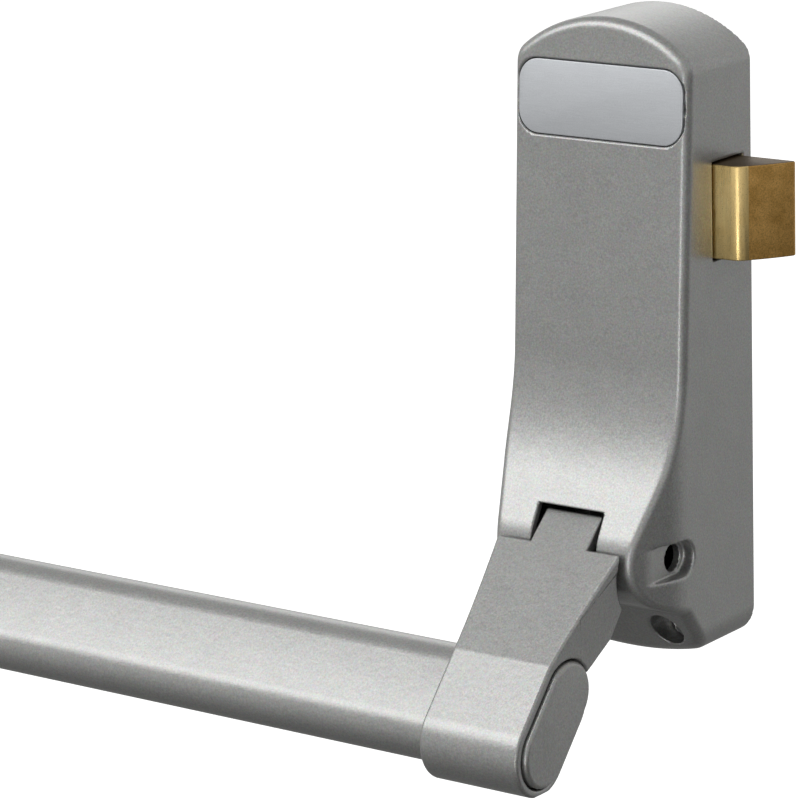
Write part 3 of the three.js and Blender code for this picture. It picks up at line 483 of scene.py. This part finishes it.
def bolt_plan():
    """The bolt from above, counter-clockwise from the heel's back corner."""
    def curve(p0, p1, p2, steps):
        t = np.linspace(0, 1, steps)[1:, None]
        return (1 - t) ** 2 * np.array(p0) + 2 * t * (1 - t) * np.array(p1) + t ** 2 * np.array(p2)
    s, f = BOLT_SHOULDER, BOLT_FRONT
    turn, tip = (s + 5, f + 3), (BOLT_TIP, BOLT_BACK - 1.6)
    start = np.array([[BOLT_HEEL, BOLT_BACK], [BOLT_HEEL, f], [s - 6, f], [s, f]])
    end = np.array([[BOLT_TIP - 0.1, BOLT_BACK - 0.5], [BOLT_TIP - 0.6, BOLT_BACK]])
    return np.concatenate([start, curve((s, f), (s + 3, f), turn, 8),
                           curve(turn, (s + 10.5, f + 9.6), tip, 14), end])


def latch_bolt(name):
    plan = bolt_plan()
    edge = rounded_edge(0.45, 4)
    levels = [(inset, BOLT_LOW + drop) for inset, drop in edge]
    levels += [(inset, BOLT_HIGH - drop) for inset, drop in reversed(edge)]
    rings = [np.column_stack([inset_ring(plan, inset), np.full(len(plan), z)]) for inset, z in levels]
    return loft(name, rings, smooth_angle=math.radians(30))


def bolt_tail(name):
    """The tongue of the bolt that the lever's peg draws, with the slot that the peg rides in."""
    def field(x, y, z):
        body = both(slab(x, TAIL_LOW[0], TAIL_HIGH[0]), slab(z, TAIL_LOW[2], TAIL_HIGH[2]), 0.4)
        body = both(body, slab(y, TAIL_LOW[1], TAIL_HIGH[1]), 0.4)
        return without(body, np.maximum(slab(x, TAIL_SLOT[0], TAIL_SLOT[1]), z - TAIL_SLOT[2]), 0.2)
    low, high = [edge - 1 for edge in TAIL_LOW], [edge + 1 for edge in TAIL_HIGH]
    return carve(name, field, low, high, 0.4, 0.5)


def mirrored(name, source):
    """The hinge unit's copy of a latch unit piece: mirrored, one spacing along the bar."""
    mesh = source.data.copy()
    count = len(mesh.vertices)
    p, normal = np.empty(count * 3), np.zeros((count, 3))
    mesh.vertices.foreach_get("co", p)
    p = p.reshape(-1, 3)
    p[:, 0] = -SPACING * MM - p[:, 0]
    shaded = mesh.has_custom_normals
    if shaded:
        corner, owner = np.empty(len(mesh.loops) * 3), np.empty(len(mesh.loops), np.int32)
        mesh.corner_normals.foreach_get("vector", corner)
        mesh.loops.foreach_get("vertex_index", owner)
        normal[owner] = corner.reshape(-1, 3) * (-1, 1, 1)
    mesh.vertices.foreach_set("co", p.ravel())
    mesh.flip_normals()
    mesh.update()
    if shaded:
        mesh.normals_split_custom_set_from_vertices(normal.tolist())
    obj = bpy.data.objects.new(name, mesh)
    bpy.context.scene.collection.objects.link(obj)
    return obj


# ---- materials ----
class Look:
    """A node material that reads like a recipe."""

    def __init__(self, name, **sockets):
        self.material = bpy.data.materials.new(name)
        self.material.use_nodes = True
        self.nodes, self.links = self.material.node_tree.nodes, self.material.node_tree.links
        self.shader = self.nodes["Principled BSDF"]
        for key, value in sockets.items():
            self.shader.inputs[key.replace("_", " ")].default_value = value
        self.place = self.node("ShaderNodeTexCoord").outputs["Object"]

    def node(self, kind, **props):
        made = self.nodes.new(kind)
        for key, value in props.items():
            setattr(made, key, value)
        return made

    def stretched(self, scale):
        mapping = self.node("ShaderNodeMapping")
        mapping.inputs["Scale"].default_value = scale
        self.links.new(self.place, mapping.inputs["Vector"])
        return mapping.outputs["Vector"]

    def noise(self, scale, detail=2.0, rough=0.5, place=None):
        made = self.node("ShaderNodeTexNoise")
        made.inputs["Scale"].default_value = scale
        made.inputs["Detail"].default_value = detail
        made.inputs["Roughness"].default_value = rough
        self.links.new(place or self.place, made.inputs["Vector"])
        return made.outputs["Fac"]

    def flakes(self, scale, place=None):
        made = self.node("ShaderNodeTexVoronoi")
        made.inputs["Scale"].default_value = scale
        self.links.new(place or self.place, made.inputs["Vector"])
        return made.outputs["Color"]

    def ramp(self, source, stops):
        made = self.node("ShaderNodeValToRGB")
        elements = made.color_ramp.elements
        while len(elements) < len(stops):
            elements.new(0.5)
        for element, (at, colour) in zip(elements, stops):
            element.position = at
            element.color = (*colour, 1) if isinstance(colour, tuple) else (colour, colour, colour, 1)
        self.links.new(source, made.inputs["Fac"])
        return made.outputs["Color"]

    def mix(self, kind, factor, a, b):
        made = self.node("ShaderNodeMix", data_type="RGBA", blend_type=kind)
        for socket, value in ((made.inputs[0], factor), (made.inputs[6], a), (made.inputs[7], b)):
            if isinstance(value, bpy.types.NodeSocket):
                self.links.new(value, socket)
            else:
                socket.default_value = value
        return made.outputs[2]

    def value(self, source, low, high, start=0.0, stop=1.0):
        made = self.node("ShaderNodeMapRange")
        for key, number in (("From Min", start), ("From Max", stop), ("To Min", low), ("To Max", high)):
            made.inputs[key].default_value = number
        self.links.new(source, made.inputs["Value"])
        return made.outputs["Result"]

    def near(self, centre, across, radius, along, reach, offset=(0, 0, 0)):
        """1 inside a bore of a radius and a reach from centre, and in its mirror images if it is offset."""
        place, steps = self.place, (("SUBTRACT", centre), ("ABSOLUTE", None), ("SUBTRACT", offset))
        for operation, vector in steps:
            made = self.node("ShaderNodeVectorMath", operation=operation)
            self.links.new(place, made.inputs[0])
            if vector:
                made.inputs[1].default_value = [part * MM for part in vector]
            place = made.outputs["Vector"]
        inside = None
        for mask, limit in ((across, radius), (along, reach)):
            part = self.node("ShaderNodeVectorMath", operation="MULTIPLY")
            part.inputs[1].default_value = mask
            self.links.new(place, part.inputs[0])
            length = self.node("ShaderNodeVectorMath", operation="LENGTH")
            self.links.new(part.outputs["Vector"], length.inputs[0])
            below = self.node("ShaderNodeMath", operation="LESS_THAN")
            below.inputs[1].default_value = limit * MM
            self.links.new(length.outputs["Value"], below.inputs[0])
            if inside:
                product = self.node("ShaderNodeMath", operation="MULTIPLY")
                self.links.new(inside, product.inputs[0])
                self.links.new(below.outputs["Value"], product.inputs[1])
                below = product
            inside = below.outputs["Value"]
        return inside

    def bump(self, *layers):
        """Each layer is a height and its depth in metres."""
        normal = None
        for height, depth in layers:
            made = self.node("ShaderNodeBump")
            made.inputs["Strength"].default_value = 1.0
            made.inputs["Distance"].default_value = depth
            self.links.new(height, made.inputs["Height"])
            if normal:
                self.links.new(normal, made.inputs["Normal"])
            normal = made.outputs["Normal"]
        self.links.new(normal, self.shader.inputs["Normal"])

    def set(self, key, source):
        self.links.new(source, self.shader.inputs[key])


def silver_look(name="silver_powder_coat", unit_x=None):
    """Metallic powder coat: flakes that differ from grain to grain under a softly rippled skin.

    On a case, whose unit stands at unit_x, the bore walls beyond a little depth are coloured near-black:
    painted shade for the shadow inside the bores.
    """
    look = Look(name, Metallic=0.82, Coat_Weight=0.12, Coat_Roughness=0.25, IOR=1.5)
    grain = look.flakes(2300)
    sparkle = look.noise(1500, 3, 0.75)
    cloud = look.noise(90, 3)
    base = look.ramp(cloud, ((0.3, (0.445, 0.447, 0.440)), (0.7, (0.470, 0.472, 0.465))))
    speck = look.ramp(sparkle, ((0.3, 0.80), (0.5, 1.0), (0.72, 1.22)))
    colour = look.mix("MULTIPLY", 1.0, base, speck)
    colour = look.mix("MULTIPLY", 0.16, colour, grain)
    if unit_x is not None:
        fixing_x, fixing_z, floor = FIXINGS[0]
        pin_bore_painted_shade = look.near((unit_x, PIVOT_Y, 0), (0, 1, 1), PIN_HOLE_R + 0.5, (1, 0, 0), PIN_POCKET_X - 2.6)
        fixing_bore_painted_shade = look.near((unit_x, 0, 0), (1, 0, 1), FIX_HOLE_R + 0.3, (0, 1, 0), -floor - 0.5,
                              (fixing_x, 0, -fixing_z))
        # painted shade: the pin and fixing bores are coloured near-black from a set depth on, standing in
        # for their shadow
        for inside in (pin_bore_painted_shade, fixing_bore_painted_shade):
            colour = look.mix("MIX", inside, colour, (0.008, 0.008, 0.008, 1))
    look.set("Base Color", colour)
    look.set("Roughness", look.value(sparkle, 0.32, 0.40, 0.3, 0.7))
    look.bump((look.noise(420, 2), 0.00006), (sparkle, 0.00001))
    return look.material


def badge_look():
    look = Look("badge_satin_aluminium", Metallic=0.85, IOR=1.45)
    grain = look.noise(3200, 3, 0.7)
    long_grain = look.noise(1.0, 4, 0.6, look.stretched((180, 3000, 3000)))
    base = look.ramp(grain, ((0.3, (0.62, 0.64, 0.67)), (0.7, (0.73, 0.75, 0.78))))
    look.set("Base Color", look.mix("MULTIPLY", 0.25, base, look.ramp(long_grain, ((0.3, 0.8), (0.7, 1.1)))))
    look.set("Roughness", look.value(grain, 0.42, 0.52, 0.3, 0.7))
    look.bump((long_grain, 0.000008))
    return look.material


def brass_look():
    """Pressed and sintered brass: fine pits, and rub marks along the bolt's height."""
    look = Look("bolt_brass", Metallic=1.0)
    pits = look.noise(2400, 4, 0.7)
    rub = look.noise(1.0, 4, 0.65, look.stretched((900, 900, 60)))
    cloud = look.noise(110, 3, 0.6)
    base = look.ramp(cloud, ((0.3, (0.93, 0.67, 0.27)), (0.7, (0.98, 0.74, 0.34))))
    dark = look.ramp(pits, ((0.30, 0.55), (0.42, 0.97), (0.7, 1.05)))
    worn = look.mix("MULTIPLY", 1.0, base, dark)
    look.set("Base Color", look.mix("MULTIPLY", 0.55, worn, look.ramp(rub, ((0.35, 0.80), (0.65, 1.15)))))
    look.set("Roughness", look.value(rub, 0.22, 0.42, 0.3, 0.7))
    look.bump((pits, 0.00002), (rub, 0.000015))
    return look.material


def steel_look():
    look = Look("zinc_plated_steel", Metallic=1.0)
    grain = look.noise(1.0, 4, 0.6, look.stretched((1500, 1500, 90)))
    cloud = look.noise(120, 3)
    base = look.ramp(cloud, ((0.3, (0.40, 0.41, 0.43)), (0.7, (0.53, 0.54, 0.54))))
    look.set("Base Color", look.mix("MULTIPLY", 0.4, base, look.ramp(grain, ((0.3, 0.75), (0.7, 1.1)))))
    look.set("Roughness", look.value(grain, 0.24, 0.40, 0.3, 0.7))
    look.bump((grain, 0.00001))
    return look.material


def rubber_look():
    look = Look("stop_rubber", Metallic=0.0, Specular_IOR_Level=0.3)
    grain = look.noise(1500, 4, 0.6)
    look.set("Base Color", look.ramp(grain, ((0.3, 0.012), (0.7, 0.03))))
    look.set("Roughness", look.value(grain, 0.65, 0.85, 0.3, 0.7))
    look.bump((grain, 0.00003))
    return look.material


def bronze_look():
    look = Look("bush_bronze", Metallic=1.0)
    pits = look.noise(2600, 4, 0.7)
    base = look.ramp(look.noise(200, 3), ((0.3, (0.36, 0.21, 0.09)), (0.7, (0.50, 0.32, 0.15))))
    look.set("Base Color", look.mix("MULTIPLY", 1.0, base, look.ramp(pits, ((0.32, 0.6), (0.5, 1.0)))))
    look.set("Roughness", look.value(pits, 0.32, 0.5, 0.3, 0.7))
    look.bump((pits, 0.00002))
    return look.material


def matt_brass_and_shade_look(name, low, high):
    """Pitted, matt brass between the two colours low and high: the bevel's own duller tone, and the painted
    shade on the bolt's flat ends.
    """
    look = Look(name, Metallic=0.9)
    pits = look.noise(2100, 4, 0.7)
    base = look.ramp(look.noise(160, 3), ((0.3, low), (0.7, high)))
    look.set("Base Color", look.mix("MULTIPLY", 1.0, base, look.ramp(pits, ((0.32, 0.6), (0.6, 1.1)))))
    look.set("Roughness", look.value(pits, 0.45, 0.6, 0.3, 0.7))
    look.bump((pits, 0.00002))
    return look.material


BEVEL_BRASS = matt_brass_and_shade_look("bevel_brass", (0.56, 0.32, 0.085), (0.78, 0.47, 0.15))
# painted shade: near-black brass for the bolt's top and bottom faces, so that they read as lying in shade
BOLT_END_PAINTED_SHADE = matt_brass_and_shade_look("bolt_end_painted_shade", (0.11, 0.075, 0.04), (0.17, 0.12, 0.065))
LOOKS = {"silver_coat": silver_look(), "badge_metal": badge_look(), "bolt_metal": brass_look(),
         "steel": steel_look(), "stop_rubber": rubber_look(), "bush_bronze": bronze_look()}


# ---- pieces ----
def finish_piece(obj, body, slot, *nodes, look=None):
    obj.data.materials.clear()
    obj.data.materials.append(look or LOOKS[slot])
    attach(obj, body)
    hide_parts(*nodes)
    return obj


def second_look(obj, look, chosen):
    """Gives another material to the faces that chosen picks by centre and normal, in millimetres."""
    obj.data.materials.append(look)
    index = len(obj.data.materials) - 1
    for face in obj.data.polygons:
        if chosen(face.center / MM, face.normal):
            face.material_index = index


case_low, case_high = (-35.2, -65.5, -41.6), (35.2, 0.6, 176.6)
latch_case = carve("latch_case_body", case_field(True), case_low, case_high, 0.8, 0.42)
hinge_source = carve("hinge_case_body", case_field(False), case_low, case_high, 0.8, 0.42)
latch_arm = carve("latch_arm_body", arm_field, (-25.6, -122.0, -65.0), (25.6, -26.0, 17.0), 0.6, 0.5)
latch_cap = end_cap("latch_end_cap_body")
latch_badge = badge("latch_badge_body")

# the case coats carry painted shade inside the pin and fixing bores
finish_piece(latch_case, "root", "silver_coat", "latch_case", look=silver_look("latch_case_coat_and_bore_shade", 0))
finish_piece(latch_arm, "push_bar", "silver_coat", "latch_arm")
finish_piece(latch_cap, "push_bar", "silver_coat", "latch_end_cap")
finish_piece(latch_badge, "root", "badge_metal", "latch_badge")
hinge_case = mirrored("hinge_case_shell", hinge_source)
bpy.data.objects.remove(hinge_source)
finish_piece(hinge_case, "root", "silver_coat", "hinge_case", look=silver_look("hinge_case_coat_and_bore_shade", -SPACING))
finish_piece(mirrored("hinge_arm_body", latch_arm), "push_bar", "silver_coat", "hinge_arm")
finish_piece(mirrored("hinge_end_cap_body", latch_cap), "push_bar", "silver_coat", "hinge_end_cap")
finish_piece(mirrored("hinge_badge_body", latch_badge), "root", "badge_metal", "hinge_badge")
finish_piece(crossbar("crossbar_tube"), "push_bar", "silver_coat", "crossbar")
bolt = finish_piece(latch_bolt("latch_bolt_body"), "bolt", "bolt_metal", "latch_bolt")
second_look(bolt, BEVEL_BRASS, lambda c, normal: c.x > BOLT_SHOULDER + 5)
# painted shade: faces that look straight up or down take the near-black bolt-end brass
second_look(bolt, BOLT_END_PAINTED_SHADE, lambda c, normal: abs(normal.z) > 0.9)
finish_piece(bolt_tail("latch_bolt_tail"), "bolt", "bolt_metal", "latch_bolt")

slots = {}
for part in frame["record"]["subparts"]:
    for name in part.get("nodes", [part.get("node")]):
        slots[name] = part["material_slot"]
for name, node in frame["nodes"].items():
    look = LOOKS[slots.get(name, "steel")]
    if node.material_slots:
        for material_slot in node.material_slots:
            material_slot.material = look
    else:
        node.data.materials.append(look)

# ---- stage, light and camera ----
scene = bpy.context.scene
scene.view_settings.view_transform = "Standard"
FLOOR_SIZE = 30.0
floor_z = cad_low.z - 0.22
side = FLOOR_SIZE / 2 / MM
floor = make_mesh("floor", [(-side, -side, floor_z / MM), (side, -side, floor_z / MM),
                            (side, side, floor_z / MM), (-side, side, floor_z / MM)], [(0, 1, 2, 3)])
floor_look = Look("pale_floor", Roughness=0.9, Specular_IOR_Level=0.1, Emission_Strength=0.6)
floor_look.shader.inputs["Emission Color"].default_value = (1, 1, 1, 1)
floor_look.set("Base Color", floor_look.ramp(floor_look.noise(3, 2), ((0.3, 0.86), (0.7, 0.88))))
floor.data.materials.append(floor_look.material)
floor.visible_glossy = False
floor.visible_diffuse = False

world = bpy.data.worlds.new("soft_studio")
world.use_nodes = True
scene.world = world
background = world.node_tree.nodes["Background"]
sky = world.node_tree.nodes.new("ShaderNodeTexCoord")
split = world.node_tree.nodes.new("ShaderNodeSeparateXYZ")
height = world.node_tree.nodes.new("ShaderNodeMapRange")
height.inputs["From Min"].default_value = -1
ramp = world.node_tree.nodes.new("ShaderNodeValToRGB")
LEVELS = ((-1.0, 0.10), (-0.7, 0.20), (-0.28, 0.40), (-0.12, 0.56), (0.05, 0.62), (0.5, 0.55), (1.0, 0.45))
while len(ramp.color_ramp.elements) < len(LEVELS):
    ramp.color_ramp.elements.new(0.5)
for element, (rise, bright) in zip(ramp.color_ramp.elements, LEVELS):
    element.position = (rise + 1) / 2
    element.color = (bright, bright, bright * 0.985, 1)
world.node_tree.links.new(sky.outputs["Generated"], split.inputs["Vector"])
world.node_tree.links.new(split.outputs["Z"], height.inputs["Value"])
world.node_tree.links.new(height.outputs["Result"], ramp.inputs["Fac"])
# the open, dark end of the room lies along the crossbar, past the latch
DARK_END = (0.96, 0.0, -0.28)
toward = world.node_tree.nodes.new("ShaderNodeVectorMath")
toward.operation = "DOT_PRODUCT"
toward.inputs[1].default_value = DARK_END
dim = world.node_tree.nodes.new("ShaderNodeMapRange")
dim.interpolation_type = "SMOOTHSTEP"
for key, number in (("From Min", 0.69), ("From Max", 0.97), ("To Min", 1.0), ("To Max", 0.34)):
    dim.inputs[key].default_value = number
shade = world.node_tree.nodes.new("ShaderNodeVectorMath")
shade.operation = "SCALE"
world.node_tree.links.new(sky.outputs["Generated"], toward.inputs[0])
world.node_tree.links.new(toward.outputs["Value"], dim.inputs["Value"])
world.node_tree.links.new(ramp.outputs["Color"], shade.inputs[0])
world.node_tree.links.new(dim.outputs["Result"], shade.inputs["Scale"])
world.node_tree.links.new(shade.outputs["Vector"], background.inputs["Color"])
background.inputs["Strength"].default_value = 1.0


def softbox(name, place, facing, width, height, radiance):
    """A soft panel at a place, turned to send its light along facing, with its brightness as radiance."""
    data = bpy.data.lights.new(name, "AREA")
    data.shape = "RECTANGLE"
    data.size, data.size_y = width, height
    data.energy = radiance * math.pi * width * height
    obj = bpy.data.objects.new(name, data)
    obj.location = place
    obj.rotation_mode = "QUATERNION"
    obj.rotation_quaternion = (-Vector(facing)).to_track_quat("Z", "Y")
    obj.visible_camera = False
    scene.collection.objects.link(obj)
    return obj


def strip(name, angle_low, angle_high, distance, left, right, radiance):
    """A panel that runs along the crossbar, seen from it between two angles above the horizon."""
    middle = math.radians((angle_low + angle_high) / 2)
    half = math.tan(math.radians((angle_high - angle_low) / 2)) * distance
    facing = (0, math.cos(middle), -math.sin(middle))
    place = ((left + right) / 2, -distance * math.cos(middle) - 0.06, distance * math.sin(middle))
    return softbox(name, place, facing, right - left, 2 * half, radiance)


KEY_LOW, KEY_HIGH, KEY_DISTANCE, KEY_LEFT, KEY_RIGHT = 28.5, 65, 1.9, -3.0, 0.1
strip("key_panel", KEY_LOW, KEY_HIGH, KEY_DISTANCE, KEY_LEFT, KEY_RIGHT, 1.95)
softbox("back_panel", (-1.25, 1.95, 0.95), (0.5, -0.78, -0.38), 1.6, 1.0, 0.9)
softbox("right_strip", (0.72, -2.15, -0.42), (-0.32, 0.93, 0.18), 0.35, 1.3, 4.0)

YAW, PITCH, ROLL = math.radians(36.71), math.radians(14.37), math.radians(-1.65)
LENS, SENSOR, CAMERA_PLACE = 189, 36, (0.74846, -1.15463, 0.394368)
forward = Vector((-math.sin(YAW) * math.cos(PITCH), math.cos(YAW) * math.cos(PITCH), -math.sin(PITCH)))
level = Vector((math.cos(YAW), math.sin(YAW), 0))
upright = level.cross(forward)
right = math.cos(ROLL) * level + math.sin(ROLL) * upright
up = -math.sin(ROLL) * level + math.cos(ROLL) * upright
camera_data = bpy.data.cameras.new("camera")
camera_data.lens = LENS
camera_data.sensor_width = SENSOR
camera = bpy.data.objects.new("camera", camera_data)
turn = Matrix((right, up, -forward)).transposed().to_4x4()
camera.matrix_world = Matrix.Translation(CAMERA_PLACE) @ turn
scene.collection.objects.link(camera)
scene.camera = camera
